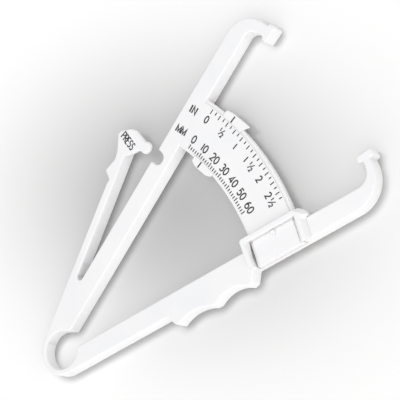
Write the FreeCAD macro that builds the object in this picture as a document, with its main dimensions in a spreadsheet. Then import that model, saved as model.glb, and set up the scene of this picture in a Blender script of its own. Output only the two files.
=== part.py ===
import FreeCAD, Part
import Sketcher
import math
import os

# Skinfold caliper: a one-piece sprung plastic moulding (two arms joined by a hinge loop,
# a scale plate fixed to the upper arm, a press lever on a flexure) and a sliding cursor
# that clips round the scale plate.
#
# Working frame of the sketches: hinge axis at the origin, +X along the bisector of the
# open jaws, Z = 0 on the rest plane, millimetres.  Every sub-part is then shifted by the
# same Placement, so that the part's origin is the middle of its footprint.

doc = FreeCAD.newDocument("skinfold_caliper")
V = FreeCAD.Vector

# ------------------------------------------------------------------ driving dimensions
sheet = doc.addObject("Spreadsheet::Sheet", "Dims")
DIMS = [
    ("shift_x", -75.5225, "part origin to hinge axis, X"),
    ("shift_y", -4.0045, "part origin to hinge axis, Y"),
    ("arm_depth", 6.2, "depth of the arms"),
    ("edge_top", 0.72, "rounding of the front edges"),
    ("edge_base", 0.45, "rounding of the back edges"),
    ("loop_x", 3.95, "hinge loop centre X"),
    ("loop_y", 1.40, "hinge loop centre Y"),
    ("loop_inner", 7.85, "hinge loop inner radius"),
    ("loop_outer", 10.36, "hinge loop outer radius"),
    ("upper_dir", 16.3, "direction of the upper arm, degrees"),
    ("upper_inner", 1.40, "offset of the upper arm's inner face"),
    ("arm_width", 8.30, "width of the upper arm"),
    ("lower_dir", -15.6, "direction of the lower arm, degrees"),
    ("lower_inner", 0.28, "offset of the lower arm's inner face"),
    ("lever_dir", 27.5, "direction of the press lever, degrees"),
    ("lever_left", 9.78, "offset of the lever's outer face"),
    ("slot_end", 1.40, "radius of the end of the lever slot"),
    ("flex_length", 5.0, "length of the lever flexure"),
    ("head_thick", 1.5, "thickness of the lever's head plate"),
    ("nub_radius", 2.50, "radius of the nub on the lever head"),
    ("notch_radius", 2.62, "radius of the notch that takes the nub"),
    ("jaw_in", 153.6, "jaw contact face, inner radius"),
    ("jaw_out", 160.7, "jaw contact face, outer radius"),
    ("jaw_thick", 2.4, "thickness of the jaw pads"),
    ("jaw_stem", 3.9, "from the contact face to the end of the hook"),
    ("jaw_upper", 12.93, "upper contact face, degrees"),
    ("jaw_lower", -11.28, "lower contact face, degrees"),
    ("plate_base", 3.1, "height of the scale plate's back"),
    ("lip_top", 5.55, "height of the scale plate's edge lips"),
    ("lip_in", 100.35, "scale plate, inner edge radius"),
    ("face_in", 101.5, "printed face, inner radius"),
    ("face_out", 120.5, "printed face, outer radius"),
    ("lip_out", 121.8, "scale plate, outer edge radius"),
    ("stop_radius", 1.2, "radius of the stop nub"),
    ("stop_height", 0.8, "height of the stop nub"),
    ("stop_arc", 111.0, "stop nub, distance from the hinge axis"),
    ("ink_thick", 0.04, "thickness of the print"),
    ("tick_width", 0.46, "width of a graduation"),
    ("zero_angle", 14.49, "angle of the zero graduation, degrees"),
    ("mm_angle", 0.363, "degrees of arc per millimetre of opening"),
    ("floor_top", 2.9, "top of the guide's floor"),
    ("bridge_base", 6.36, "underside of the guide's bridge"),
    ("guide_top", 8.2, "top of the guide"),
    ("tab_base", 5.6, "underside of the cursor's tabs"),
    ("tab_top", 6.25, "top of the cursor's tabs"),
    ("bar_base", 1.9, "underside of the cursor's back bar"),
    ("index_angle", 9.45, "cursor index line, degrees"),
]
for row, (name, value, note) in enumerate(DIMS, start=1):
    sheet.set("A%d" % row, note)
    sheet.set("B%d" % row, str(value))
    sheet.setAlias("B%d" % row, name)
doc.recompute()


def dim(name):
    return float(sheet.get(name))


# ------------------------------------------------------------------ plane geometry
def polar(r, deg):
    a = math.radians(deg)
    return (r * math.cos(a), r * math.sin(a))


def direction(deg):
    a = math.radians(deg)
    return (math.cos(a), math.sin(a)), (-math.sin(a), math.cos(a))


def lower(u, v):
    """Point at distance u along the lower arm and v across it."""
    (dx, dy), (nx, ny) = direction(dim("lower_dir"))
    return (u * dx + v * nx, u * dy + v * ny)


def upper(u, v):
    """Point at distance u along the upper arm and v across it."""
    (dx, dy), (nx, ny) = direction(dim("upper_dir"))
    return (u * dx + v * nx, u * dy + v * ny)


def along(origin, deg, dist):
    (dx, dy), _ = direction(deg)
    return (origin[0] + dx * dist, origin[1] + dy * dist)


def chain(points):
    """Straight runs through the points (x, y, corner radius); an item ('arc', mid, end)
    is an arc from the previous point.  Returns line and arc segments of a closed loop."""
    verts = []
    for p in points:
        if p[0] == "arc":
            verts.append(("arc", p[1], p[2]))
        else:
            verts.append(("pt", (p[0], p[1]), p[2] if len(p) > 2 else 0.0))
    # end points with their rounding; a point that starts or ends an arc stays sharp
    n = len(verts)
    pos = [v[1] if v[0] == "pt" else v[2] for v in verts]
    cut_in = list(pos)
    cut_out = list(pos)
    mids = [None] * n
    for i, v in enumerate(verts):
        nxt = verts[(i + 1) % n]
        if v[0] == "pt" and v[2] > 0 and nxt[0] == "pt":
            p, a, b = pos[i], pos[i - 1], pos[(i + 1) % n]
            va = (a[0] - p[0], a[1] - p[1])
            vb = (b[0] - p[0], b[1] - p[1])
            la, lb = math.hypot(*va), math.hypot(*vb)
            ua, ub = (va[0] / la, va[1] / la), (vb[0] / lb, vb[1] / lb)
            half = math.acos(max(-1.0, min(1.0, ua[0] * ub[0] + ua[1] * ub[1]))) / 2.0
            t = v[2] / math.tan(half)
            share_a = 0.48 if verts[i - 1][0] == "pt" and verts[i - 1][2] > 0 else 0.96
            share_b = 0.48 if nxt[2] > 0 else 0.96
            t = min(t, share_a * la, share_b * lb)
            r = t * math.tan(half)
            cut_in[i] = (p[0] + ua[0] * t, p[1] + ua[1] * t)
            cut_out[i] = (p[0] + ub[0] * t, p[1] + ub[1] * t)
            bis = (ua[0] + ub[0], ua[1] + ub[1])
            lbis = math.hypot(*bis)
            d = r / math.sin(half) - r
            mids[i] = (p[0] + bis[0] / lbis * d, p[1] + bis[1] / lbis * d)
    segs = []
    for i, v in enumerate(verts):
        start = cut_out[i - 1]
        if v[0] == "arc":
            segs.append(("A", start, v[1], v[2]))
        else:
            if math.hypot(start[0] - cut_in[i][0], start[1] - cut_in[i][1]) > 1e-6:
                segs.append(("L", start, cut_in[i]))
            if mids[i] is not None:
                segs.append(("A", cut_in[i], mids[i], cut_out[i]))
    return segs


def vec(p):
    return V(p[0], p[1], 0)


def circle_through(p, q, r):
    ax, ay, bx, by = q[0] - p[0], q[1] - p[1], r[0] - p[0], r[1] - p[1]
    d = 2.0 * (ax * by - ay * bx)
    ux = (by * (ax * ax + ay * ay) - ay * (bx * bx + by * by)) / d
    uy = (ax * (bx * bx + by * by) - bx * (ax * ax + ay * ay)) / d
    return (p[0] + ux, p[1] + uy), math.hypot(ux, uy)


def draw(sketch, segs):
    """Adds the closed run of segments to the sketch and joins its ends."""
    first = sketch.GeometryCount
    ends = []
    for s in segs:
        if s[0] == "L":
            sketch.addGeometry(Part.LineSegment(vec(s[1]), vec(s[2])), False)
            ends.append((1, 2))
        else:
            c, r = circle_through(s[1], s[2], s[3])
            a0, am, a1 = (math.atan2(q[1] - c[1], q[0] - c[0]) for q in s[1:4])
            turn = 2.0 * math.pi
            ccw = (am - a0) % turn < (a1 - a0) % turn
            b0, b1 = (a0, a1) if ccw else (a1, a0)
            b1 = b0 + (b1 - b0) % turn
            sketch.addGeometry(Part.ArcOfCircle(Part.Circle(vec(c), V(0, 0, 1), r), b0, b1), False)
            ends.append((1, 2) if ccw else (2, 1))
    count = len(segs)
    for i in range(count):
        j = (i + 1) % count
        sketch.addConstraint(Sketcher.Constraint(
            "Coincident", first + i, ends[i][1], first + j, ends[j][0]))
    for i in range(count):
        sketch.addConstraint(Sketcher.Constraint("Block", first + i))


# ------------------------------------------------------------------ document helpers
def plane(body, role):
    for f in body.Origin.OriginFeatures:
        if f.Role == role:
            return f


def new_body(label):
    b = doc.addObject("PartDesign::Body", label)
    b.Label = label
    b.setExpression(".Placement.Base.x", "Dims.shift_x")
    b.setExpression(".Placement.Base.y", "Dims.shift_y")
    return b


def new_sketch(body, name, height=None):
    s = body.newObject("Sketcher::SketchObject", name)
    s.AttachmentSupport = [(plane(body, "XY_Plane"), "")]
    s.MapMode = "FlatFace"
    if height is not None:
        s.setExpression("AttachmentOffset.Base.z", "Dims.%s" % height)
    return s


def pad(body, name, outlines, length, height=None):
    s = new_sketch(body, name + "_outline", height)
    for o in outlines:
        draw(s, o)
    p = body.newObject("PartDesign::Pad", name)
    p.Profile = s
    p.setExpression("Length", length)
    doc.recompute()
    return p


def pocket_up(body, name, outlines, length, height):
    """Cut that starts at a height and runs upwards."""
    before = body.Shape.Volume
    s = new_sketch(body, name + "_outline", height)
    for o in outlines:
        draw(s, o)
    p = body.newObject("PartDesign::Pocket", name)
    p.Profile = s
    p.Reversed = True
    p.setExpression("Length", length)
    doc.recompute()
    if not body.Shape.Volume < before - 1e-6:
        raise RuntimeError(name + " cuts nothing")
    return p


def circle_sketch(body, name, centre, radius_alias, height):
    s = new_sketch(body, name, height)
    s.addGeometry(Part.Circle(vec(centre), V(0, 0, 1), dim(radius_alias)), False)
    s.addConstraint(Sketcher.Constraint("DistanceX", -1, 1, 0, 3, centre[0]))
    s.addConstraint(Sketcher.Constraint("DistanceY", -1, 1, 0, 3, centre[1]))
    s.addConstraint(Sketcher.Constraint("Radius", 0, dim(radius_alias)))
    s.setExpression("Constraints[2]", "Dims.%s" % radius_alias)
    return s


def edges_at(shape, z, keep_out=()):
    """Names of the edges that lie in the plane at height z, without those whose middle
    is near one of the keep-out points (the faces where a neighbour joins on)."""
    names = []
    for i, e in enumerate(shape.Edges, start=1):
        if any(abs(v.Z - z) > 1e-4 for v in e.Vertexes):
            continue
        if e.BoundBox.ZLength > 1e-4:
            continue
        m = e.valueAt((e.FirstParameter + e.LastParameter) / 2.0)
        if any(math.hypot(m.x - k[0], m.y - k[1]) < k[2] for k in keep_out):
            continue
        names.append("Edge%d" % i)
    return names


def local_shape(feature):
    return feature.Shape


def round_edges(body, name, feature, z, alias, keep_out=(), factors=(1.0, 0.8, 0.6, 0.4)):
    names = edges_at(local_shape(feature), z, keep_out)
    f = body.newObject("PartDesign::Fillet", name)
    f.Base = (feature, names)
    for k in factors:
        f.setExpression("Radius", "Dims.%s * %s" % (alias, k))
        doc.recompute()
        if "Invalid" not in f.State and "Error" not in f.State and not f.Shape.isNull() and f.Shape.isValid():
            print(name, "edges", len(names), "radius factor", k)
            return f
    raise RuntimeError(name + " failed")


depth = dim("arm_depth")

# ------------------------------------------------------------------ construction points
C = (dim("loop_x"), dim("loop_y"))
(ud, un) = direction(dim("upper_dir"))
(ld, ln) = direction(dim("lower_dir"))
(vd, vn) = direction(dim("lever_dir"))
lever_left_dir = 27.29
(qd, qn) = direction(lever_left_dir)

upper_outer = dim("upper_inner") + dim("arm_width")

# tangent points of the loop's outer circle with the lever's outer face and the lower arm
T1 = (C[0] + qn[0] * dim("loop_outer"), C[1] + qn[1] * dim("loop_outer"))
S1 = (C[0] + qn[0] * dim("loop_inner"), C[1] + qn[1] * dim("loop_inner"))
T2 = (C[0] - ln[0] * dim("loop_outer"), C[1] - ln[1] * dim("loop_outer"))
S2 = (C[0] - ln[0] * dim("loop_inner"), C[1] - ln[1] * dim("loop_inner"))
lower_outer = T2[0] * ln[0] + T2[1] * ln[1]

# lever: end of the slot between lever and arm
slot_c = (28.40, 19.87)
(rd, rn) = direction(27.72)
slot_lever = (slot_c[0] + rn[0] * dim("slot_end"), slot_c[1] + rn[1] * dim("slot_end"))
slot_arm = (slot_c[0] - un[0] * dim("slot_end"), slot_c[1] - un[1] * dim("slot_end"))
slot_tip = along(slot_c, 22.0 + 180.0, dim("slot_end"))
t_left = (dim("lever_left") - (slot_lever[0] * qn[0] + slot_lever[1] * qn[1])) / (vn[0] * qn[0] + vn[1] * qn[1])
root_left = (slot_lever[0] + vn[0] * t_left, slot_lever[1] + vn[1] * t_left)


def lever_pt(s, side):
    """Point on the lever's outer (left) or inner (right) face at distance s past the slot end."""
    base = root_left if side == "left" else slot_lever
    d = qd if side == "left" else rd
    return (base[0] + d[0] * s, base[1] + d[1] * s)


# ------------------------------------------------------------------ hinge loop
def arc_mid(c, r, a0, a1):
    return (c[0] + r * math.cos(math.radians((a0 + a1) / 2)), c[1] + r * math.sin(math.radians((a0 + a1) / 2)))


a_top = lever_left_dir + 90.0
a_bot = dim("lower_dir") + 270.0
loop_body = new_body("hinge_loop")
loop_pad = pad(loop_body, "loop_ring", [[
    ("A", T1, arc_mid(C, dim("loop_outer"), a_top, a_bot), T2),
    ("L", T2, S2),
    ("A", S2, arc_mid(C, dim("loop_inner"), a_top, a_bot), S1),
    ("L", S1, T1)]], "Dims.arm_depth")
seam1 = ((T1[0] + S1[0]) / 2, (T1[1] + S1[1]) / 2, 0.9)
seam2 = ((T2[0] + S2[0]) / 2, (T2[1] + S2[1]) / 2, 0.9)
f = round_edges(loop_body, "loop_front_edges", loop_pad, depth, "edge_top", (seam1, seam2))
round_edges(loop_body, "loop_back_edges", f, 0.0, "edge_base", (seam1, seam2))

# ------------------------------------------------------------------ upper arm
notch_c = (85.43, 32.95)
nr = dim("notch_radius")


def on_upper_outer(x):
    return (x, (upper_outer - un[0] * x) / un[1])


hole_a = 56.0
hole_end = along(C, hole_a, dim("loop_inner"))
lip_low = on_upper_outer(82.30)
ramp_in = along(notch_c, 214.0, nr)
ramp_out = along(notch_c, 12.0, nr)
lip_high = (87.70, on_upper_outer(87.70)[1])
(ju_d, ju_n) = direction(dim("jaw_upper"))


def jaw_u(r, back):
    p = polar(r, dim("jaw_upper"))
    return (p[0] + ju_n[0] * back, p[1] + ju_n[1] * back)


(jl_d, jl_n) = direction(dim("jaw_lower"))


def jaw_l(r, back):
    p = polar(r, dim("jaw_lower"))
    return (p[0] - jl_n[0] * back, p[1] - jl_n[1] * back)


jt = dim("jaw_thick")
js = dim("jaw_stem")
neck_u = (jaw_u(154.8, js + 0.7), jaw_u(159.6, js + 0.7))
upper_pts = [
    (T1[0], T1[1]),
    (root_left[0], root_left[1]),
    (slot_lever[0], slot_lever[1]),
    ("arc", slot_tip, slot_arm),
    (lip_low[0], lip_low[1], 0.7),
    (ramp_in[0], ramp_in[1]),
    ("arc", along(notch_c, -67.0, nr), ramp_out),
    (lip_high[0], lip_high[1], 0.7),
    upper(159.55, upper_outer) + (11.0,),
    (neck_u[1][0], neck_u[1][1]),
    (neck_u[0][0], neck_u[0][1]),
    upper(153.9, dim("upper_inner")) + (3.5,),
    (11.8, (dim("upper_inner") - un[0] * 11.8) / un[1], 0.5),
    (hole_end[0], hole_end[1]),
    ("arc", arc_mid(C, dim("loop_inner"), hole_a, a_top), S1),
]
ua_body = new_body("upper_arm")
ua_pad = pad(ua_body, "upper_bar", [chain(upper_pts)], "Dims.arm_depth")
seam_u = [seam1,
          ((root_left[0] + slot_lever[0]) / 2, (root_left[1] + slot_lever[1]) / 2, 1.2),
          ((neck_u[0][0] + neck_u[1][0]) / 2, (neck_u[0][1] + neck_u[1][1]) / 2, 1.2)]
# the notch keeps a crisp front edge
notch_mid = along(notch_c, -67.0, nr)
f = round_edges(ua_body, "upper_front_edges", ua_pad, depth, "edge_top", seam_u + [(notch_mid[0], notch_mid[1], 0.6)])
f = round_edges(ua_body, "upper_back_edges", f, 0.0, "edge_base", seam_u)


# the printed face runs on over the arm, so the front edge stays square along the plate
def on_upper_inner(r, off=0.0):
    k = dim("upper_inner") + off
    return upper(math.sqrt(r * r - k * k), k)


land = chain([on_upper_inner(dim("face_in")) + (0,), on_upper_inner(dim("face_out")) + (0,),
              on_upper_inner(dim("face_out"), 1.5) + (0,), on_upper_inner(dim("face_in"), 1.5) + (0,)])
pad(ua_body, "plate_land", [land], "Dims.arm_depth - Dims.lip_top + 0.4", None)
land_sketch = doc.getObject("plate_land_outline")
land_sketch.setExpression("AttachmentOffset.Base.z", "Dims.lip_top - 0.4")
doc.recompute()

# ------------------------------------------------------------------ upper jaw pad
uj_body = new_body("upper_jaw")
uj = pad(uj_body, "upper_jaw_block", [chain([
    jaw_u(dim("jaw_in"), 0.0) + (0.8,), jaw_u(dim("jaw_out"), 0.0) + (0.8,),
    jaw_u(dim("jaw_out"), jt + 1.3) + (0.8,), jaw_u(159.6, jt + 1.3) + (0.3,),
    neck_u[1] + (0,), neck_u[0] + (0,),
    jaw_u(154.8, jt + 0.6) + (0.4,), jaw_u(dim("jaw_in"), jt + 0.3) + (0.8,)])], "Dims.arm_depth")
seam_ju = (((neck_u[0][0] + neck_u[1][0]) / 2, (neck_u[0][1] + neck_u[1][1]) / 2, 0.6),)
f = round_edges(uj_body, "upper_jaw_front", uj, depth, "edge_top", seam_ju, (1.0, 0.8, 0.6, 0.5))
round_edges(uj_body, "upper_jaw_back", f, 0.0, "edge_base", seam_ju, (1.0, 0.8, 0.6))

# ------------------------------------------------------------------ lever flexure and press lever
L = dim("flex_length")
flex_body = new_body("lever_flexure")
fx0, fx1 = (root_left, slot_lever), (lever_pt(L, "left"), lever_pt(L, "right"))
fx = pad(flex_body, "flexure_strip", [chain([root_left + (0,), slot_lever + (0,), fx1[1] + (0,), fx1[0] + (0,)])],
         "Dims.arm_depth")
sf0 = ((root_left[0] + slot_lever[0]) / 2, (root_left[1] + slot_lever[1]) / 2, 1.2)
sf1 = ((fx1[0][0] + fx1[1][0]) / 2, (fx1[0][1] + fx1[1][1]) / 2, 1.2)
f = round_edges(flex_body, "flexure_front", fx, depth, "edge_top", (sf0, sf1))
round_edges(flex_body, "flexure_back", f, 0.0, "edge_base", (sf0, sf1))

bar_end_l = lever_pt(51.5, "left")
bar_end_r = lever_pt(57.5, "right")
lever_pts = [
    fx1[1] + (0,),
    bar_end_r + (1.2,),
    (79.3, 49.6, 1.2),
    (76.9, 52.6, 1.2),
    (72.9, 49.9, 2.0),
    (69.6, 47.75, 3.0),
    (63.5, 47.35, 0.9),
    (62.55, 42.75, 0.6),
    (60.9, 42.42, 0.5),
    fx1[0] + (0,),
]
pl_body = new_body("press_lever")
pl = pad(pl_body, "lever_bar", [chain(lever_pts)], "Dims.arm_depth")
nub_c = (83.60, 40.80)
nb = dim("nub_radius")
head = [
    (77.0, 55.35, 1.4),
    (72.9, 50.2, 2.5),
    (70.2, 48.05, 1.5),
    (73.6, 45.35, 0.5),
    (78.4, 42.95, 1.0),
    (79.9, 42.62, 0.25),
    along(nub_c, 170.0, nb) + (0,),
    ("arc", along(nub_c, 285.0, nb), along(nub_c, 60.0, nb)),
    (84.9, 43.5, 0.5),
    (84.45, 49.9, 2.0),
    (83.3, 52.0, 2.0),
    (79.0, 55.2, 1.6),
]
hd = pad(pl_body, "lever_head", [chain(head)], "Dims.head_thick", None)
doc.getObject("lever_head_outline").setExpression("AttachmentOffset.Base.z", "Dims.arm_depth - Dims.head_thick")
doc.recompute()
f = round_edges(pl_body, "lever_front", hd, depth, "edge_top", (sf1,), (1.0, 0.9, 0.8, 0.7, 0.6))
round_edges(pl_body, "lever_back", f, 0.0, "edge_base", (sf1,))

# ------------------------------------------------------------------ scale plate and its stop
end_v = lower_outer + 0.05


def plate_end(r):
    """Where the plate's far edge, in line with the lower arm's outer face, meets radius r."""
    return math.degrees(math.asin(end_v / r)) + dim("lower_dir")


def sector(r0, r1, root_r0, root_r1):
    a0, a1 = plate_end(r0), plate_end(r1)
    b0 = math.degrees(math.atan2(root_r0[1], root_r0[0]))
    b1 = math.degrees(math.atan2(root_r1[1], root_r1[0]))
    return [("A", polar(r0, b0), polar(r0, (a0 + b0) / 2), polar(r0, a0)),
            ("L", polar(r0, a0), polar(r1, a1)),
            ("A", polar(r1, a1), polar(r1, (a1 + b1) / 2), polar(r1, b1)),
            ("L", polar(r1, b1), polar(r0, b0))]


sp_body = new_body("scale_plate")
sp1 = pad(sp_body, "plate_web", [sector(dim("lip_in"), dim("lip_out"),
                                       on_upper_inner(dim("lip_in")), on_upper_inner(dim("lip_out")))],
          "Dims.lip_top - Dims.plate_base", "plate_base")
sp2 = pad(sp_body, "plate_face", [sector(dim("face_in"), dim("face_out"),
                                        on_upper_inner(dim("face_in")), on_upper_inner(dim("face_out")))],
          "Dims.arm_depth - Dims.lip_top", "lip_top")

stop_body = new_body("scale_stop")
stop_a = -14.965
s = circle_sketch(stop_body, "stop_outline", polar(dim("stop_arc"), stop_a), "stop_radius", "arm_depth")
p = stop_body.newObject("PartDesign::Pad", "stop_nub")
p.Profile = s
p.setExpression("Length", "Dims.stop_height")
doc.recompute()
round_edges(stop_body, "stop_edge", p, depth + dim("stop_height"), "edge_base")


# ------------------------------------------------------------------ printed graduations
def tick(r0, r1, deg, width=None):
    w = (width if width else dim("tick_width")) / 2.0
    (dx, dy), (nx, ny) = direction(deg)
    q = []
    for r, k in ((r0, -w), (r1, -w), (r1, w), (r0, w)):
        q.append((r * dx + nx * k, r * dy + ny * k, 0))
    return chain(q)


def print_body(label, ticks, base):
    b = new_body(label)
    b.AllowCompound = True
    pad(b, label + "_ink", ticks, "Dims.ink_thick", base)
    return b


mm_ticks = []
for i in range(31):
    r1 = 103.7 if i % 5 == 0 else 103.15
    mm_ticks.append(tick(101.8, r1, dim("zero_angle") - dim("mm_angle") * 2 * i))
print_body("mm_graduations", mm_ticks, "arm_depth")
in_ticks = []
for j in range(22):
    r0 = 118.1 if j % 2 == 0 else 118.75
    in_ticks.append(tick(r0, 120.1, dim("zero_angle") - dim("mm_angle") * 3.175 * j))
print_body("inch_graduations", in_ticks, "arm_depth")

# ------------------------------------------------------------------ lower arm
hole_b = -35.0
hole_low = along(C, hole_b, dim("loop_inner"))
lo = lower_outer


def grip(u, v):
    return lower(u, v)


neck_l = (jaw_l(155.55, js), jaw_l(158.9, js))
lower_pts = [
    (S2[0], S2[1]),
    ("arc", arc_mid(C, dim("loop_inner"), a_bot - 360.0, hole_b), hole_low),
    lower(11.35, dim("lower_inner")) + (0.5,),
    lower(155.35, dim("lower_inner")) + (5.5,),
    (neck_l[0][0], neck_l[0][1]),
    (neck_l[1][0], neck_l[1][1]),
    lower(160.4, lo) + (13.4,),
    lower(98.15, lo) + (1.2,),
    lower(95.6, -12.35) + (0.7,),
    lower(93.6, -12.85),
    ("arc", lower(86.2, -10.5), lower(78.6, -12.35)),
    lower(77.6, -12.85) + (0.8,),
    lower(75.6, -12.75),
    ("arc", lower(68.4, -10.85), lower(61.0, -12.1)),
    lower(59.5, -13.0) + (0.8,),
    lower(57.7, -11.85) + (1.0,),
    lower(55.3, lo) + (0.5,),
    (T2[0], T2[1]),
]
la_body = new_body("lower_arm")
la_pad = pad(la_body, "lower_bar", [chain(lower_pts)], "Dims.arm_depth")
seam_l = [seam2, ((neck_l[0][0] + neck_l[1][0]) / 2, (neck_l[0][1] + neck_l[1][1]) / 2, 1.2)]
f = round_edges(la_body, "lower_front_edges", la_pad, depth, "edge_top", seam_l)
f = round_edges(la_body, "lower_back_edges", f, 0.0, "edge_base", seam_l)
# recess under the scale plate
w_left_top, w_left_bot, w_right = 98.5, 99.72, 122.1
recess = chain([lower(w_left_top - 0.12, 3.0) + (0,), lower(w_left_bot + 0.1, lo - 3.0) + (0,),
                lower(w_right, lo - 3.0) + (0,), lower(w_right, 3.0) + (0,)])
pocket_up(la_body, "plate_recess", [recess], "Dims.arm_depth", "floor_top")

lj_body = new_body("lower_jaw")
lj = pad(lj_body, "lower_jaw_block", [chain([
    jaw_l(dim("jaw_in"), 0.0) + (0.8,), jaw_l(dim("jaw_in"), jt + 0.3) + (0.9,),
    jaw_l(155.55, jt + 0.8) + (0.4,), neck_l[0] + (0,), neck_l[1] + (0,),
    jaw_l(158.9, jt + 1.0) + (0.3,),
    jaw_l(dim("jaw_out"), jt + 0.7) + (0.9,), jaw_l(dim("jaw_out"), 0.0) + (0.8,)])], "Dims.arm_depth")
seam_jl = (((neck_l[0][0] + neck_l[1][0]) / 2, (neck_l[0][1] + neck_l[1][1]) / 2, 0.6),)
f = round_edges(lj_body, "lower_jaw_front", lj, depth, "edge_top", seam_jl, (1.0, 0.8, 0.6, 0.5))
round_edges(lj_body, "lower_jaw_back", f, 0.0, "edge_base", seam_jl, (1.0, 0.8, 0.6))

# ------------------------------------------------------------------ guide frame on the lower arm
gf_body = new_body("guide_frame")
guide_out = chain([
    lower(96.8, -6.6) + (0.8,), lower(98.2, lo) + (0,), lower(125.7, lo) + (0,),
    lower(125.9, -0.6) + (0,), lower(127.5, 0.9) + (0,),
    lower(126.4, 3.3) + (0,), lower(124.3, 4.9) + (0,), lower(96.8, 4.8) + (1.3,)])
g1 = pad(gf_body, "guide_block", [guide_out], "Dims.guide_top")
# room for the arm itself
arm_room = chain([lower(90.0, lo - 3.0) + (0,), lower(135.0, lo - 3.0) + (0,),
                  lower(135.0, dim("lower_inner")) + (0,), lower(90.0, dim("lower_inner")) + (0,)])
s = new_sketch(gf_body, "arm_room_outline")
draw(s, arm_room)
before = gf_body.Shape.Volume
p = gf_body.newObject("PartDesign::Pocket", "arm_room")
p.Profile = s
p.Reversed = True
p.setExpression("Length", "Dims.arm_depth")
doc.recompute()
if not gf_body.Shape.Volume < before:
    raise RuntimeError("arm_room cuts nothing")
# passage for the scale plate
passage = chain([lower(w_left_top - 0.35, 6.0) + (0,), lower(w_left_bot + 0.1, lo - 3.0) + (0,),
                 lower(w_right, lo - 3.0) + (0,), lower(w_right, 6.0) + (0,)])
pocket_up(gf_body, "plate_passage", [passage], "Dims.bridge_base - Dims.floor_top", "floor_top")
# window in front of the plate, inside the bridge: the wall at its inner end slopes down to the plate
bridge_v = 2.50
rim = chain([lower(w_left_top, bridge_v) + (0.4,), lower(w_left_top + 0.62, -3.2) + (0,),
             lower(w_left_bot + 0.1, lo - 3.0) + (0,),
             lower(w_right + 0.15, lo - 3.0) + (0,), lower(w_right + 0.15, bridge_v) + (0.4,)])
sill = chain([lower(100.15, bridge_v) + (0.4,), lower(99.45, -3.2) + (0,),
              lower(w_left_bot + 0.2, lo - 3.0) + (0,),
              lower(w_right - 0.1, lo - 3.0) + (0,), lower(w_right - 0.1, bridge_v) + (0.4,)])
s_rim = new_sketch(gf_body, "window_rim_outline", "guide_top")
draw(s_rim, rim)
s_sill = new_sketch(gf_body, "window_sill_outline", "bridge_base")
draw(s_sill, sill)
before = gf_body.Shape.Volume
wl = gf_body.newObject("PartDesign::SubtractiveLoft", "window")
wl.Profile = s_rim
wl.Sections = [s_sill]
wl.Ruled = True
doc.recompute()
if "Invalid" in wl.State or not gf_body.Shape.Volume < before - 1.0:
    raise RuntimeError("window cuts nothing")
# the lobe beside the arm hangs from the frame and stops short of the back
relief = chain([lower(124.6, dim("lower_inner")) + (0,), lower(124.6, 8.0) + (0,),
                lower(131.0, 8.0) + (0,), lower(131.0, dim("lower_inner")) + (0,)])
s = new_sketch(gf_body, "lobe_relief_outline")
draw(s, relief)
before = gf_body.Shape.Volume
p = gf_body.newObject("PartDesign::Pocket", "lobe_relief")
p.Profile = s
p.Reversed = True
p.setExpression("Length", "Dims.arm_depth - 1.7")
doc.recompute()
if not gf_body.Shape.Volume < before:
    raise RuntimeError("lobe_relief cuts nothing")
# room for the cursor's tabs under the bridge
tab_a = dim("lower_dir") + 1.2
room = chain([polar(94.0, tab_a) + (0,), polar(131.0, tab_a) + (0,), polar(131.0, tab_a + 8.0) + (0,),
              polar(94.0, tab_a + 8.0) + (0,)])
s = new_sketch(gf_body, "tab_room_outline")
s.setExpression("AttachmentOffset.Base.z", "Dims.lip_top - 0.3")
draw(s, room)
before = gf_body.Shape.Volume
p = gf_body.newObject("PartDesign::Pocket", "tab_room")
p.Profile = s
p.Reversed = True
p.setExpression("Length", "Dims.bridge_base - Dims.lip_top + 0.3")
doc.recompute()
if not gf_body.Shape.Volume < before:
    raise RuntimeError("tab_room cuts nothing")
g_last = p


def top_edges_where(shape, z, test):
    names = []
    for i, e in enumerate(shape.Edges, start=1):
        if any(abs(v.Z - z) > 1e-4 for v in e.Vertexes) or e.BoundBox.ZLength > 1e-4:
            continue
        m = e.valueAt((e.FirstParameter + e.LastParameter) / 2.0)
        u = m.x * ld[0] + m.y * ld[1]
        v = m.x * ln[0] + m.y * ln[1]
        if test(u, v):
            names.append("Edge%d" % i)
    return names


# sloping outer shoulder of the guide, and softened rims
gt = dim("guide_top")
names = top_edges_where(g_last.Shape, gt, lambda u, v: u > 125.0)
ch = gf_body.newObject("PartDesign::Chamfer", "guide_shoulder")
ch.Base = (g_last, names)
for size in (1.6, 1.4, 1.2, 1.0, 0.8):
    ch.Size = size
    doc.recompute()
    if "Invalid" not in ch.State and not ch.Shape.isNull() and ch.Shape.isValid():
        print("guide_shoulder size", size)
        break
else:
    raise RuntimeError("guide_shoulder failed")
names = top_edges_where(ch.Shape, gt, lambda u, v: not (v < lo + 0.3))
rf = gf_body.newObject("PartDesign::Fillet", "guide_rims")
rf.Base = (ch, names)
ok = False
for rad in (0.6, 0.5, 0.4, 0.3, 0.2):
    rf.Radius = rad
    doc.recompute()
    if "Invalid" not in rf.State and not rf.Shape.isNull() and rf.Shape.isValid():
        ok = True
        print("guide_rims radius", rad)
        break
if not ok:
    gf_body.removeObject(rf)
    doc.removeObject(rf.Name)
    gf_body.Tip = ch
    doc.recompute()
    print("guide_rims left square")

# ------------------------------------------------------------------ cursor
cu_body = new_body("cursor")
w_in0, w_in1 = 99.0, dim("lip_in") - 0.1
w_out0, w_out1 = dim("lip_out") + 0.1, 123.1
c0, c1 = 7.2, 11.2


def wedge(r0, r1, a0, a1):
    return [("A", polar(r0, a0), polar(r0, (a0 + a1) / 2), polar(r0, a1)),
            ("L", polar(r0, a1), polar(r1, a1)),
            ("A", polar(r1, a1), polar(r1, (a0 + a1) / 2), polar(r1, a0)),
            ("L", polar(r1, a0), polar(r0, a0))]


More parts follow.
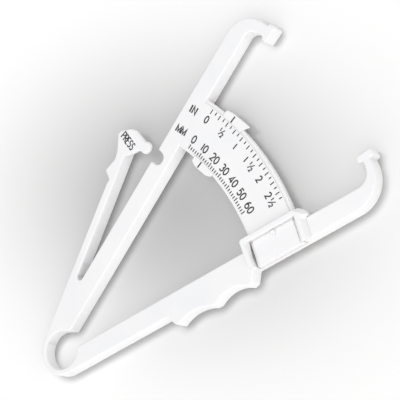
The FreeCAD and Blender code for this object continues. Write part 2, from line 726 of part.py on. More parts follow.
pad(cu_body, "cursor_bar", [wedge(w_in0, w_out1, c0, c1)], "Dims.floor_top - Dims.bar_base", "bar_base")
pad(cu_body, "cursor_walls", [wedge(w_in0, w_in1, c0, c1), wedge(w_out0, w_out1, c0, c1)],
    "Dims.tab_top - Dims.bar_base", "bar_base")
i0, o0 = dim("face_in") - 0.1, dim("face_out") + 0.1
upper_tab = chain([
    polar(o0, 11.85) + (0,), ("arc", polar(o0, 9.1), polar(o0, 6.55)),
    polar(122.6, 6.25) + (0.8,), polar(124.95, 5.45) + (0.35,),
    polar(124.5, 8.0), ("arc", polar(124.15, 9.9), polar(123.7, 11.5)),
    polar(123.2, 11.85) + (0,),
])
lower_tab = chain([
    polar(98.9, 11.95) + (0.6,), polar(98.25, 10.9), ("arc", polar(98.05, 9.6), polar(98.25, 8.2)),
    polar(98.4, 6.7) + (1.0,), polar(99.6, 5.25) + (0.7,),
    polar(i0, 5.2), ("arc", polar(i0, 8.6), polar(i0, 11.95)),
])
tb = pad(cu_body, "cursor_tabs", [upper_tab, lower_tab], "Dims.tab_top - Dims.tab_base", "tab_base")
# the edges that lie against the printed face stay square
names = []
for i, e in enumerate(tb.Shape.Edges, start=1):
    if any(abs(v.Z - dim("tab_top")) > 1e-4 for v in e.Vertexes) or e.BoundBox.ZLength > 1e-4:
        continue
    m = e.valueAt((e.FirstParameter + e.LastParameter) / 2.0)
    if not i0 - 0.1 < math.hypot(m.x, m.y) < o0 + 0.1:
        names.append("Edge%d" % i)
fl = cu_body.newObject("PartDesign::Fillet", "cursor_edges")
fl.Base = (tb, names)
for rad in (0.3, 0.25, 0.2, 0.15):
    fl.Radius = rad
    doc.recompute()
    if "Invalid" not in fl.State and not fl.Shape.isNull() and fl.Shape.isValid():
        print("cursor_edges radius", rad)
        break

print_body("index_marks", [tick(120.75, 123.7, dim("index_angle"), 0.62), tick(98.45, 101.15, dim("index_angle"), 0.62)],
           "tab_top")

# ------------------------------------------------------------------ checks and export
doc.recompute()
bad = [o.Name for o in doc.Objects if "Invalid" in o.State or "Error" in o.State]
if bad:
    raise RuntimeError("failed objects: " + ", ".join(bad))

NODES = ["upper_arm", "upper_jaw", "hinge_loop", "lever_flexure", "press_lever", "scale_plate", "scale_stop",
         "mm_graduations", "inch_graduations", "lower_arm", "lower_jaw", "guide_frame", "cursor", "index_marks"]
os.makedirs("parts", exist_ok=True)
box = FreeCAD.BoundBox()
shapes = {}
for n in NODES:
    body = [o for o in doc.Objects if o.TypeId == "PartDesign::Body" and o.Label == n][0]
    sh = body.Shape
    if sh.isNull() or not sh.isValid():
        raise RuntimeError(n + " has no valid shape")
    shapes[n] = sh
    box.add(sh.optimalBoundingBox(True, False))
    print("%-18s solids %2d volume %9.2f z %.2f..%.2f" % (n, len(sh.Solids), sh.Volume, sh.BoundBox.ZMin, sh.BoundBox.ZMax))
for n in NODES:
    shapes[n].exportStep("parts/%s.step" % n)
print("box", [round(v, 3) for v in (box.XMin, box.YMin, box.ZMin, box.XMax, box.YMax, box.ZMax)])
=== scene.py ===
import bpy, bmesh, math
from mathutils import Vector, Matrix


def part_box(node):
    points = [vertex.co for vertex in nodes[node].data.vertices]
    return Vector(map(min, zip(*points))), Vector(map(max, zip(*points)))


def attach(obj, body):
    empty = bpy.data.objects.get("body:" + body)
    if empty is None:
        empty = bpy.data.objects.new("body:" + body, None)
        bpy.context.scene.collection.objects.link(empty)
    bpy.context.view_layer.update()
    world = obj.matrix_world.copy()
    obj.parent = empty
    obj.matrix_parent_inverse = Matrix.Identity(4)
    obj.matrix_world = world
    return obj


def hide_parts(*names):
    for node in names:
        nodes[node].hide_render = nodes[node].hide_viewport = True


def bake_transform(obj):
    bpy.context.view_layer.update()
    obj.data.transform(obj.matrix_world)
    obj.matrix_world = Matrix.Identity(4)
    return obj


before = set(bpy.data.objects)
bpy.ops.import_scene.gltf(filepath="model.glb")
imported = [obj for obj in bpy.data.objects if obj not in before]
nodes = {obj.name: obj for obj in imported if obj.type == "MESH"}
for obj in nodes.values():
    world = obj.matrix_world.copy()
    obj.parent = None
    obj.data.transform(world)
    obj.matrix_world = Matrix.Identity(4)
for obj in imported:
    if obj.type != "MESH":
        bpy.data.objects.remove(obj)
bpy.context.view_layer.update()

MM = 0.001
SX, SY = -75.5225, -4.0045          # hinge axis in the part's frame, mm
DEPTH = 6.2                       # depth of the arms, mm


def P(x, y, z=0.0):
    """Point given from the hinge axis in mm, in the part's frame in metres."""
    return Vector(((x + SX) * MM, (y + SY) * MM, z * MM))


def polar(r, deg):
    a = math.radians(deg)
    return (r * math.cos(a), r * math.sin(a))


# ---------------------------------------------------------------- materials
def nt(name):
    m = bpy.data.materials.new(name)
    m.use_nodes = True
    m.node_tree.nodes.clear()
    return m, m.node_tree


def add(tree, kind, **props):
    n = tree.nodes.new(kind)
    for k, v in props.items():
        setattr(n, k, v)
    return n


def plastic(name, lo, hi, rough=(0.34, 0.46), bump=0.05, sss=0.30):
    """White moulded plastic: faint flow-mottling in colour and gloss, a fine spark-eroded
    grain and longer, lower waves from the mould surface."""
    m, t = nt(name)
    L = t.links
    out = add(t, "ShaderNodeOutputMaterial")
    b = add(t, "ShaderNodeBsdfPrincipled")
    L.new(b.outputs["BSDF"], out.inputs["Surface"])
    geo = add(t, "ShaderNodeTexCoord")
    mottle = add(t, "ShaderNodeTexNoise")
    mottle.inputs["Scale"].default_value = 55.0
    mottle.inputs["Detail"].default_value = 4.0
    mottle.inputs["Roughness"].default_value = 0.55
    L.new(geo.outputs["Object"], mottle.inputs["Vector"])
    ramp = add(t, "ShaderNodeValToRGB")
    ramp.color_ramp.elements[0].position = 0.32
    ramp.color_ramp.elements[0].color = (*lo, 1)
    ramp.color_ramp.elements[1].position = 0.68
    ramp.color_ramp.elements[1].color = (*hi, 1)
    L.new(mottle.outputs["Fac"], ramp.inputs["Fac"])
    # painted shade: ambient occlusion darkens and warms the base colour in creases, corners and gaps between members
    ao = add(t, "ShaderNodeAmbientOcclusion")
    ao.samples = 8
    ao.inputs["Distance"].default_value = 0.004
    crease_shade_mix = add(t, "ShaderNodeMix", data_type="RGBA", blend_type="MULTIPLY")
    crease_shade_mix.inputs["Factor"].default_value = 1.0
    painted_crease_shade = add(t, "ShaderNodeValToRGB")
    painted_crease_shade.color_ramp.elements[0].position = 0.30
    painted_crease_shade.color_ramp.elements[0].color = (0.95, 0.93, 0.91, 1)
    painted_crease_shade.color_ramp.elements[1].position = 0.90
    painted_crease_shade.color_ramp.elements[1].color = (1.0, 1.0, 1.0, 1)
    L.new(ao.outputs["AO"], painted_crease_shade.inputs["Fac"])
    L.new(ramp.outputs["Color"], crease_shade_mix.inputs["A"])
    L.new(painted_crease_shade.outputs["Color"], crease_shade_mix.inputs["B"])
    L.new(crease_shade_mix.outputs["Result"], b.inputs["Base Color"])
    gloss = add(t, "ShaderNodeTexNoise")
    gloss.inputs["Scale"].default_value = 240.0
    gloss.inputs["Detail"].default_value = 3.0
    L.new(geo.outputs["Object"], gloss.inputs["Vector"])
    rr = add(t, "ShaderNodeMapRange")
    rr.inputs["To Min"].default_value = rough[0]
    rr.inputs["To Max"].default_value = rough[1]
    L.new(gloss.outputs["Fac"], rr.inputs["Value"])
    L.new(rr.outputs["Result"], b.inputs["Roughness"])
    fine = add(t, "ShaderNodeTexNoise")
    fine.inputs["Scale"].default_value = 3200.0
    fine.inputs["Detail"].default_value = 2.0
    L.new(geo.outputs["Object"], fine.inputs["Vector"])
    wave = add(t, "ShaderNodeTexNoise")
    wave.inputs["Scale"].default_value = 130.0
    wave.inputs["Detail"].default_value = 2.0
    L.new(geo.outputs["Object"], wave.inputs["Vector"])
    b1 = add(t, "ShaderNodeBump")
    b1.inputs["Strength"].default_value = bump
    b1.inputs["Distance"].default_value = 0.00008
    L.new(fine.outputs["Fac"], b1.inputs["Height"])
    b2 = add(t, "ShaderNodeBump")
    b2.inputs["Strength"].default_value = 0.10
    b2.inputs["Distance"].default_value = 0.0004
    L.new(wave.outputs["Fac"], b2.inputs["Height"])
    L.new(b1.outputs["Normal"], b2.inputs["Normal"])
    L.new(b2.outputs["Normal"], b.inputs["Normal"])
    b.inputs["IOR"].default_value = 1.49
    # light carried inside the plastic shows in the side walls, not in the flat faces
    flat = add(t, "ShaderNodeSeparateXYZ")
    L.new(geo.outputs["Normal"], flat.inputs["Vector"])
    up = add(t, "ShaderNodeMath", operation="ABSOLUTE")
    L.new(flat.outputs["Z"], up.inputs[0])
    wall = add(t, "ShaderNodeMapRange")
    wall.interpolation_type = "SMOOTHSTEP"
    wall.inputs["From Min"].default_value = 0.35
    wall.inputs["From Max"].default_value = 0.95
    wall.inputs["To Min"].default_value = sss
    wall.inputs["To Max"].default_value = 0.03
    L.new(up.outputs["Value"], wall.inputs["Value"])
    # but not in the narrow gaps between members, where there is no light to carry
    gap = add(t, "ShaderNodeAmbientOcclusion")
    gap.samples = 8
    gap.inputs["Distance"].default_value = 0.0012
    keep = add(t, "ShaderNodeMapRange")
    keep.interpolation_type = "SMOOTHSTEP"
    keep.inputs["From Min"].default_value = 0.40
    keep.inputs["From Max"].default_value = 0.95
    L.new(gap.outputs["AO"], keep.inputs["Value"])
    both = add(t, "ShaderNodeMath", operation="MULTIPLY")
    L.new(wall.outputs["Result"], both.inputs[0])
    L.new(keep.outputs["Result"], both.inputs[1])
    L.new(both.outputs["Value"], b.inputs["Subsurface Weight"])
    b.inputs["Subsurface Radius"].default_value = (1.0, 0.97, 0.94)
    b.inputs["Subsurface Scale"].default_value = 0.0025
    return m


def ink(name):
    """Pad-printed black ink: a little thin in places, so grey shows through, satin."""
    m, t = nt(name)
    L = t.links
    out = add(t, "ShaderNodeOutputMaterial")
    b = add(t, "ShaderNodeBsdfPrincipled")
    L.new(b.outputs["BSDF"], out.inputs["Surface"])
    geo = add(t, "ShaderNodeTexCoord")
    n = add(t, "ShaderNodeTexNoise")
    n.inputs["Scale"].default_value = 900.0
    n.inputs["Detail"].default_value = 4.0
    L.new(geo.outputs["Object"], n.inputs["Vector"])
    ramp = add(t, "ShaderNodeValToRGB")
    ramp.color_ramp.elements[0].position = 0.35
    ramp.color_ramp.elements[0].color = (0.010, 0.010, 0.012, 1)
    ramp.color_ramp.elements[1].position = 0.8
    ramp.color_ramp.elements[1].color = (0.045, 0.044, 0.046, 1)
    L.new(n.outputs["Fac"], ramp.inputs["Fac"])
    L.new(ramp.outputs["Color"], b.inputs["Base Color"])
    rr = add(t, "ShaderNodeMapRange")
    rr.inputs["To Min"].default_value = 0.42
    rr.inputs["To Max"].default_value = 0.6
    L.new(n.outputs["Fac"], rr.inputs["Value"])
    L.new(rr.outputs["Result"], b.inputs["Roughness"])
    bp = add(t, "ShaderNodeBump")
    bp.inputs["Strength"].default_value = 0.08
    bp.inputs["Distance"].default_value = 0.00003
    L.new(n.outputs["Fac"], bp.inputs["Height"])
    L.new(bp.outputs["Normal"], b.inputs["Normal"])
    return m


WHITE = plastic("moulded_white", (0.86, 0.865, 0.88), (0.90, 0.90, 0.91))
CLIP = plastic("cursor_white", (0.87, 0.875, 0.885), (0.91, 0.91, 0.915), rough=(0.30, 0.42))
INK = ink("print_black")

INK_NODES = ("mm_graduations", "inch_graduations", "index_marks")
for name, obj in nodes.items():
    mat = INK if name in INK_NODES else CLIP if name == "cursor" else WHITE
    if not obj.material_slots:
        obj.data.materials.append(mat)
    for s in obj.material_slots:
        s.material = mat


# ---------------------------------------------------------------- mesh helpers
def mesh_object(name, verts, faces, mat, smooth_deg=None):
    me = bpy.data.meshes.new(name)
    me.from_pydata([tuple(v) for v in verts], [], faces)
    me.validate()
    bm = bmesh.new()
    bm.from_mesh(me)
    bmesh.ops.recalc_face_normals(bm, faces=bm.faces)
    bm.to_mesh(me)
    bm.free()
    ob = bpy.data.objects.new(name, me)
    bpy.context.scene.collection.objects.link(ob)
    me.materials.append(mat)
    if smooth_deg is not None:
        for p in me.polygons:
            p.use_smooth = True
        me.set_sharp_from_angle(angle=math.radians(smooth_deg))
    return ob


def section(w, h, top, base, steps=7):
    """Rounded-rectangle section as (across, up) pairs, counter-clockwise, mm.
    across runs from 0 to w, up from 0 to h; top and base are the corner radii."""
    out = []

    def corner(cx, cy, r, a0):
        for i in range(steps + 1):
            a = math.radians(a0 + 90.0 * i / steps)
            out.append((cx + r * math.cos(a), cy + r * math.sin(a)))
    corner(w - base, base, base, -90.0)
    corner(w - top, h - top, top, 0.0)
    corner(top, h - top, top, 90.0)
    corner(base, base, base, 180.0)
    return out


def sweep(name, stations, mat):
    """Joins rings of points into a closed tube with flat ends."""
    n = len(stations[0])
    verts = [p for ring in stations for p in ring]
    faces = []
    for i in range(len(stations) - 1):
        for j in range(n):
            k = (j + 1) % n
            faces.append((i * n + j, i * n + k, (i + 1) * n + k, (i + 1) * n + j))
    faces.append(tuple(range(n - 1, -1, -1)))
    faces.append(tuple((len(stations) - 1) * n + j for j in range(n)))
    return mesh_object(name, verts, faces, mat, 50)


EDGE_TOP, EDGE_BASE = 0.72, 0.45

# ---------------------------------------------------------------- hinge loop between the arms (the member that flexes), swept as a fixed rounded tube
LC, RI, RO = (3.95, 1.40), 7.85, 10.359
A0, A1 = 27.29 + 90.0, -15.6 + 270.0
sec = section(RO - RI, DEPTH, EDGE_TOP, EDGE_BASE)
rings = []
N = 72
for i in range(N + 1):
    a = math.radians(A0 + (A1 - A0) * i / N)
    rings.append([P(LC[0] + (RI + q[0]) * math.cos(a), LC[1] + (RI + q[0]) * math.sin(a), q[1]) for q in sec])
loop = sweep("hinge_loop_flexing", rings, WHITE)
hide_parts("hinge_loop")
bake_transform(loop)

# ---------------------------------------------------------------- lever flexure at the lever's root (the member that flexes), swept as a fixed strip
q_dir, r_dir = math.radians(27.29), math.radians(27.72)
root_l, root_r = (26.0235, 24.4288), (27.7488, 21.1094)
lo0, hi0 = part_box("lever_flexure")


def find_root():
    """Corner points of the strip's root, from the slot's end and the lever's outer face."""
    c, rho = (28.40, 19.87), 1.40
    rn = (-math.sin(r_dir), math.cos(r_dir))
    qn = (-math.sin(q_dir), math.cos(q_dir))
    vn = (-math.sin(math.radians(27.5)), math.cos(math.radians(27.5)))
    rr = (c[0] + rn[0] * rho, c[1] + rn[1] * rho)
    t = (9.78 - (rr[0] * qn[0] + rr[1] * qn[1])) / (vn[0] * qn[0] + vn[1] * qn[1])
    return (rr[0] + vn[0] * t, rr[1] + vn[1] * t), rr


root_l, root_r = find_root()
FL = 5.0
rings = []
N = 24
for i in range(N + 1):
    s = FL * i / N
    l = (root_l[0] + math.cos(q_dir) * s, root_l[1] + math.sin(q_dir) * s)
    r = (root_r[0] + math.cos(r_dir) * s, root_r[1] + math.sin(r_dir) * s)
    w = math.hypot(l[0] - r[0], l[1] - r[1])
    ring = []
    for q in section(w, DEPTH, EDGE_TOP, EDGE_BASE):
        k = q[0] / w
        ring.append(P(r[0] + (l[0] - r[0]) * k, r[1] + (l[1] - r[1]) * k, q[1]))
    rings.append(ring)
strip = sweep("lever_flexure_bending", rings, WHITE)
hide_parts("lever_flexure")
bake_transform(strip)


# ---------------------------------------------------------------- printed characters
def arc_pts(cx, cy, rx, ry, a0, a1, n=14):
    return [(cx + rx * math.cos(math.radians(a0 + (a1 - a0) * i / n)),
             cy + ry * math.sin(math.radians(a0 + (a1 - a0) * i / n))) for i in range(n + 1)]


# Strokes on a cell of height 1; width is given with each character.
def ellipse(cx, cy, rx, ry, n=28):
    return [(cx + rx * math.cos(2 * math.pi * i / n), cy + ry * math.sin(2 * math.pi * i / n)) for i in range(n)]


GLYPHS = {
    "0": (0.56, [("loop", ellipse(0.28, 0.5, 0.28, 0.5))]),
    "1": (0.16, [("line", [(0.08, 0.0), (0.08, 1.0)])]),
    "2": (0.54, [("line", arc_pts(0.27, 0.72, 0.26, 0.28, 165, -28) + [(0.02, 0.0), (0.56, 0.0)])]),
    "3": (0.54, [("line", arc_pts(0.26, 0.75, 0.24, 0.25, 150, -85)),
                 ("line", arc_pts(0.26, 0.27, 0.27, 0.27, 85, -150))]),
    "4": (0.58, [("line", [(0.43, 0.0), (0.43, 1.0), (0.0, 0.27), (0.60, 0.27)])]),
    "5": (0.54, [("line", [(0.50, 1.0), (0.12, 1.0), (0.05, 0.52)] + arc_pts(0.26, 0.33, 0.27, 0.33, 128, -145))]),
    "6": (0.54, [("loop", ellipse(0.27, 0.30, 0.27, 0.30)),
                 ("line", [(0.012, 0.36)] + arc_pts(0.42, 0.42, 0.41, 0.58, 180, 95, 10))]),
    "/": (0.42, [("line", [(0.0, 0.0), (0.42, 1.0)])]),
    "I": (0.16, [("line", [(0.08, 0.0), (0.08, 1.0)])]),
    "N": (0.58, [("line", [(0.0, 0.0), (0.0, 1.0), (0.58, 0.0), (0.58, 1.0)])]),
    "M": (0.70, [("line", [(0.0, 0.0), (0.0, 1.0), (0.35, 0.12), (0.70, 1.0), (0.70, 0.0)])]),
    "P": (0.50, [("line", [(0.0, 0.0), (0.0, 1.0), (0.27, 1.0)] + arc_pts(0.27, 0.74, 0.23, 0.26, 90, -90, 10)[1:]
                 + [(0.0, 0.48)])]),
    "R": (0.50, [("line", [(0.0, 0.0), (0.0, 1.0), (0.27, 1.0)] + arc_pts(0.27, 0.74, 0.23, 0.26, 90, -90, 10)[1:]
                 + [(0.0, 0.48)]), ("line", [(0.25, 0.48), (0.52, 0.0)])]),
    "E": (0.46, [("line", [(0.46, 0.0), (0.0, 0.0), (0.0, 1.0), (0.46, 1.0)]), ("line", [(0.0, 0.52), (0.40, 0.52)])]),
    "S": (0.50, [("line", arc_pts(0.25, 0.75, 0.23, 0.25, 30, 255, 12) + arc_pts(0.25, 0.25, 0.25, 0.25, 75, -150, 12))]),
}


def offset_line(pts, w):
    """Outline of a stroke of width w along an open line, with mitred bends and square ends."""
    n = len(pts)
    left, right = [], []
    for i in range(n):
        if i == 0:
            d = (pts[1][0] - pts[0][0], pts[1][1] - pts[0][1])
        elif i == n - 1:
            d = (pts[-1][0] - pts[-2][0], pts[-1][1] - pts[-2][1])
        else:
            a = (pts[i][0] - pts[i - 1][0], pts[i][1] - pts[i - 1][1])
            b = (pts[i + 1][0] - pts[i][0], pts[i + 1][1] - pts[i][1])
            la, lb = math.hypot(*a) or 1.0, math.hypot(*b) or 1.0
            d = (a[0] / la + b[0] / lb, a[1] / la + b[1] / lb)
        l = math.hypot(*d) or 1.0
        nx, ny = -d[1] / l, d[0] / l
        k = 1.0
        if 0 < i < n - 1:
            cosh = abs(nx * (-a[1] / la) + ny * (a[0] / la))
            k = min(1.0 / max(cosh, 0.35), 1.9)
        left.append((pts[i][0] + nx * w / 2 * k, pts[i][1] + ny * w / 2 * k))
        right.append((pts[i][0] - nx * w / 2 * k, pts[i][1] - ny * w / 2 * k))
    return left, right


def offset_loop(pts, w):
    n = len(pts)
    left, right = [], []
    for i in range(n):
        p0, p1 = pts[i - 1], pts[(i + 1) % n]
        d = (p1[0] - p0[0], p1[1] - p0[1])
        l = math.hypot(*d)
        nx, ny = -d[1] / l, d[0] / l
        left.append((pts[i][0] + nx * w / 2, pts[i][1] + ny * w / 2))
        right.append((pts[i][0] - nx * w / 2, pts[i][1] - ny * w / 2))
    return left, right


INK_T = 0.04


def text(chars, origin, ex, ey, height, stroke, z, verts, faces, gap=0.22, squeeze=1.0, slant=0.0):
    """Lays the characters out along ex from origin (their centre on the base line's middle), up = ey."""
    widths = [GLYPHS[c][0] * squeeze for c in chars]
    total = sum(widths) + gap * (len(chars) - 1)
    x = -total / 2.0
    for c, wd in zip(chars, widths):
        for kind, pts in GLYPHS[c][1]:
            q = [((x + p[0] * squeeze + slant * (p[1] - 0.5)) * height, (p[1] - 0.5) * height) for p in pts]
            left, right = offset_loop(q, stroke) if kind == "loop" else offset_line(q, stroke)
            n = len(q)
            base = len(verts)
            for side in (left, right):
                for p in side:
                    for zz in (z, z + INK_T):
                        verts.append(P(origin[0] + ex[0] * p[0] + ey[0] * p[1],
                                       origin[1] + ex[1] * p[0] + ey[1] * p[1], zz))
            li = lambda i, top: base + 2 * (i % n) + top
            ri = lambda i, top: base + 2 * n + 2 * (i % n) + top
            last = n if kind == "loop" else n - 1
            for i in range(last):
                faces.append((li(i, 1), ri(i, 1), ri(i + 1, 1), li(i + 1, 1)))
                faces.append((li(i, 0), li(i + 1, 0), ri(i + 1, 0), ri(i, 0)))
                faces.append((li(i, 0), li(i, 1), li(i + 1, 1), li(i + 1, 0)))
                faces.append((ri(i, 0), ri(i + 1, 0), ri(i + 1, 1), ri(i, 1)))
            if kind != "loop":
                for i in (0, n - 1):
                    faces.append((li(i, 0), ri(i, 0), ri(i, 1), li(i, 1)))
        x += wd + gap


def radial_text(chars, r, deg, height, stroke, z, verts, faces, **kw):
    a = math.radians(deg)
    o = polar(r, deg)
    # up points away from the hinge; the line of text runs clockwise round the plate
    text(chars, o, (math.sin(a), -math.cos(a)), (math.cos(a), math.sin(a)), height, stroke, z, verts, faces, **kw)


ZERO, PER_MM = 14.49, 0.363
H_NUM, W_NUM = 3.05, 0.57
H_INCH, W_INCH = 2.85, 0.56

v, f = [], []
for i, label in enumerate(("0", "10", "20", "30", "40", "50", "60")):
    radial_text(label, 106.05, ZERO - PER_MM * 10 * i, H_NUM, W_NUM, DEPTH, v, f)
mm_numerals = mesh_object("mm_numerals", v, f, INK)

v, f = [], []


def fraction(r, deg, whole=""):
    """A small stacked one-half; the argument whole is not used."""
    a = math.radians(deg)
    ex, ey = (math.sin(a), -math.cos(a)), (math.cos(a), math.sin(a))
    o = polar(r, deg)

    def at(x, y):
        return (o[0] + ex[0] * x + ey[0] * y, o[1] + ex[1] * x + ey[1] * y)
    text("1", at(-0.95, 0.85), ex, ey, 1.5, 0.46, DEPTH, v, f)
    text("/", at(0.0, 0.0), ex, ey, 3.0, 0.40, DEPTH, v, f, squeeze=1.5)
    text("2", at(0.85, -0.95), ex, ey, 1.65, 0.46, DEPTH, v, f)


RN = 115.4
radial_text("0", RN, 14.49, H_INCH, W_INCH, DEPTH, v, f)
fraction(RN, 9.83)
radial_text("1", RN, 5.29, 2.6, 0.56, DEPTH, v, f)
radial_text("1", RN, 1.48, 2.6, 0.56, DEPTH, v, f)
fraction(RN, -0.43)
radial_text("2", RN, -3.75, H_INCH, W_INCH, DEPTH, v, f)
radial_text("2", RN, -7.75, H_INCH, W_INCH, DEPTH, v, f)
fraction(RN, -9.37)
inch_numerals = mesh_object("inch_numerals", v, f, INK)

v, f = [], []
radial_text("IN", 115.6, 18.45, 3.0, 0.76, DEPTH, v, f, gap=0.30, squeeze=1.02)
radial_text("MM", 106.1, 18.72, 2.75, 0.76, DEPTH, v, f, gap=0.24, squeeze=1.10)
unit_letters = mesh_object("unit_letters", v, f, INK)

v, f = [], []
c0, c1 = polar(95.1, 34.0), polar(90.95, 29.5)
d = (c1[0] - c0[0], c1[1] - c0[1])
ld = math.hypot(*d)
ex = (d[0] / ld, d[1] / ld)
ey = (-ex[1], ex[0])
mid = ((c0[0] + c1[0]) / 2, (c0[1] + c1[1]) / 2)
text("PRESS", mid, ex, ey, 3.05, 0.51, DEPTH, v, f, gap=0.16, squeeze=0.82)
press_letters = mesh_object("press_letters", v, f, INK)

for ob, body in ((mm_numerals, "upper_arm"), (inch_numerals, "upper_arm"), (unit_letters, "upper_arm"),
                 (press_letters, "press_lever")):
    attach(ob, body)

# ---------------------------------------------------------------- floor
TURN = math.radians(-40.05)


def rot(vec):
    c, s = math.cos(TURN), math.sin(TURN)
    return Vector((vec[0] * c - vec[1] * s, vec[0] * s + vec[1] * c, vec[2]))


toward = rot(Vector((-0.64, 0.77, 0.50))).normalized()
# A pale table top with painted shade: darker grey in the middle, running out to white.
m, t = nt("pale_floor")
L = t.links
out = add(t, "ShaderNodeOutputMaterial")
b = add(t, "ShaderNodeBsdfPrincipled")
L.new(b.outputs["BSDF"], out.inputs["Surface"])
b.inputs["Roughness"].default_value = 0.8
b.inputs["Specular IOR Level"].default_value = 0.2
tc = add(t, "ShaderNodeTexCoord")
off = add(t, "ShaderNodeVectorMath", operation="SUBTRACT")
off.inputs[1].default_value = (0.0046, 0.0132, 0.0)
L.new(tc.outputs["Object"], off.inputs[0])
TILT, SQUEEZE = 2.24, 1.49
along_ = add(t, "ShaderNodeVectorMath", operation="DOT_PRODUCT")
along_.inputs[1].default_value = (math.cos(TILT), math.sin(TILT), 0.0)
across = add(t, "ShaderNodeVectorMath", operation="DOT_PRODUCT")
across.inputs[1].default_value = (-SQUEEZE * math.sin(TILT), SQUEEZE * math.cos(TILT), 0.0)
both = add(t, "ShaderNodeCombineXYZ")
for n, k in ((along_, "X"), (across, "Y")):
    L.new(off.outputs["Vector"], n.inputs[0])
    L.new(n.outputs["Value"], both.inputs[k])
dist = add(t, "ShaderNodeVectorMath", operation="LENGTH")
L.new(both.outputs["Vector"], dist.inputs[0])
sc = add(t, "ShaderNodeMath", operation="MULTIPLY")
sc.inputs[1].default_value = 1.0 / 0.14
L.new(dist.outputs["Value"], sc.inputs[0])
# painted shade: this ramp darkens the table's colour towards the middle
ramp = add(t, "ShaderNodeValToRGB")
ramp.color_ramp.interpolation = "B_SPLINE"
stops = [(0.0, 0.49), (0.14, 0.53), (0.29, 0.595), (0.43, 0.715), (0.57, 0.81), (0.75, 0.92), (1.0, 0.985)]
el = ramp.color_ramp.elements
el[0].position, el[0].color = stops[0][0], (stops[0][1],) * 3 + (1,)
el[1].position, el[1].color = stops[-1][0], (stops[-1][1],) * 3 + (1,)
for pos, val in stops[1:-1]:
    e = el.new(pos)
    e.color = (val, val, val, 1)
L.new(sc.outputs["Value"], ramp.inputs["Fac"])
# painted contact shadow: the table's colour is darkened close to the parts, measured by occlusion
ao = add(t, "ShaderNodeAmbientOcclusion")
ao.samples = 8
ao.inputs["Distance"].default_value = 0.0043
# the painted shadow lies on the side of a part toward the lower right of the view
lean = add(t, "ShaderNodeCombineXYZ")
for k, v in zip("XYZ", toward):
    lean.inputs[k].default_value = v
L.new(lean.outputs["Vector"], ao.inputs["Normal"])
near = add(t, "ShaderNodeMapRange")
near.inputs["From Min"].default_value = 0.35
near.inputs["From Max"].default_value = 1.0
near.inputs["To Min"].default_value = 1.0
near.inputs["To Max"].default_value = 0.0
L.new(ao.outputs["AO"], near.inputs["Value"])
fade = add(t, "ShaderNodeMath", operation="POWER")
fade.inputs[1].default_value = 1.8
L.new(near.outputs["Result"], fade.inputs[0])
contact_shadow_factor = add(t, "ShaderNodeMath", operation="MULTIPLY_ADD")
contact_shadow_factor.inputs[1].default_value = -0.50
contact_shadow_factor.inputs[2].default_value = 1.0
L.new(fade.outputs["Value"], contact_shadow_factor.inputs[0])
dark = add(t, "ShaderNodeVectorMath", operation="SCALE")
L.new(ramp.outputs["Color"], dark.inputs[0])
L.new(contact_shadow_factor.outputs["Value"], dark.inputs["Scale"])
# the painted grey shade and shadow are only what is seen of the table; the light it throws back on the part is white
seen = add(t, "ShaderNodeLightPath")
bounce = add(t, "ShaderNodeMix", data_type="RGBA", blend_type="MIX")
bounce.inputs["A"].default_value = (0.90, 0.895, 0.885, 1)
L.new(seen.outputs["Is Camera Ray"], bounce.inputs["Factor"])
L.new(dark.outputs["Vector"], bounce.inputs["B"])
L.new(bounce.outputs["Result"], b.inputs["Base Color"])
me = bpy.data.meshes.new("floor")
me.from_pydata([(-3, -3, 0), (3, -3, 0), (3, 3, 0), (-3, 3, 0)], [], [(0, 1, 2, 3)])
floor = bpy.data.objects.new("floor", me)
me.materials.append(m)
bpy.context.scene.collection.objects.link(floor)

# ---------------------------------------------------------------- camera
TH, PH = math.radians(36.0836), math.radians(-18.4517)
mdir = Vector((math.cos(PH), math.sin(PH), 0.0))
zdir = Vector((0.0, 0.0, 1.0))
ndir = Vector((-math.sin(PH), math.cos(PH), 0.0))
view = mdir * math.sin(TH) + zdir * math.cos(TH)
mm_ = mdir * math.cos(TH) - zdir * math.sin(TH)
e_right = mm_ * math.cos(PH) - ndir * math.sin(PH)
e_up = mm_ * math.sin(PH) + ndir * math.cos(PH)
view, e_right, e_up = rot(view), rot(e_right), rot(e_up)
look = P(90.28, 4.78, DEPTH)
cam_data = bpy.data.cameras.new("camera")
cam_data.sensor_width = 36.0
cam_data.sensor_fit = "HORIZONTAL"
cam_data.lens = 36.0 * 1788.979 / 400.0
cam_data.clip_start = 0.01
cam_data.clip_end = 20.0
cam = bpy.data.objects.new("camera", cam_data)
bpy.context.scene.collection.objects.link(cam)
place = look + view * 0.7
cam.matrix_world = Matrix((
    (e_right.x, e_up.x, view.x, place.x),
    (e_right.y, e_up.y, view.y, place.y),
    (e_right.z, e_up.z, view.z, place.z),
    (0, 0, 0, 1)))
bpy.context.scene.camera = cam

# ---------------------------------------------------------------- light
W_DIM, W_BRIGHT, SIDE = 0.44, 1.36, (0.60, -0.80)
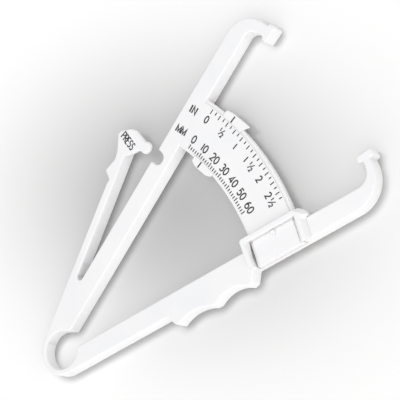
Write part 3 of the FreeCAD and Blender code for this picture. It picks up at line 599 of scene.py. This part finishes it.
# A studio that is brighter on the side the camera stands on, a touch warm near the table.
world = bpy.data.worlds.new("studio")
bpy.context.scene.world = world
world.use_nodes = True
wt = world.node_tree
bg = wt.nodes["Background"]
wc = wt.nodes.new("ShaderNodeTexCoord")
ws = wt.nodes.new("ShaderNodeSeparateXYZ")
wr = wt.nodes.new("ShaderNodeValToRGB")
wr.color_ramp.elements[0].position = 0.0
wr.color_ramp.elements[0].color = (1.0, 0.985, 0.975, 1)
wr.color_ramp.elements[1].position = 0.7
wr.color_ramp.elements[1].color = (1.0, 1.0, 1.0, 1)
wt.links.new(wc.outputs["Generated"], ws.inputs["Vector"])
wt.links.new(ws.outputs["Z"], wr.inputs["Fac"])
wt.links.new(wr.outputs["Color"], bg.inputs["Color"])
side = rot(Vector((SIDE[0], SIDE[1], 0.0))).normalized()
wd = wt.nodes.new("ShaderNodeVectorMath")
wd.operation = "DOT_PRODUCT"
wd.inputs[1].default_value = side
wt.links.new(wc.outputs["Generated"], wd.inputs[0])
wm = wt.nodes.new("ShaderNodeMapRange")
wm.interpolation_type = "SMOOTHSTEP"
wm.inputs["From Min"].default_value = -1.0
wm.inputs["From Max"].default_value = 1.0
wm.inputs["To Min"].default_value = W_DIM
wm.inputs["To Max"].default_value = W_BRIGHT
wt.links.new(wd.outputs["Value"], wm.inputs["Value"])
wt.links.new(wm.outputs["Result"], bg.inputs["Strength"])
bpy.context.scene.view_settings.view_transform = "Standard"
bpy.context.scene.view_settings.look = "None"


def area(name, image_x, image_y, up, dist, size, power):
    """A soft light placed by its direction on the table: image_x to the right and image_y
    up in the picture's plan, up the height, all as a direction."""
    v0 = rot(Vector((image_x, image_y, up))).normalized()
    data = bpy.data.lights.new(name, "AREA")
    data.shape = "SQUARE"
    data.size = size
    data.energy = power
    ob = bpy.data.objects.new(name, data)
    bpy.context.scene.collection.objects.link(ob)
    ob.location = look + v0 * dist
    ob.rotation_euler = v0.to_track_quat("Z", "Y").to_euler()
    return ob


area("key", -0.34, 0.20, 1.0, 1.0, 0.26, 1.5)
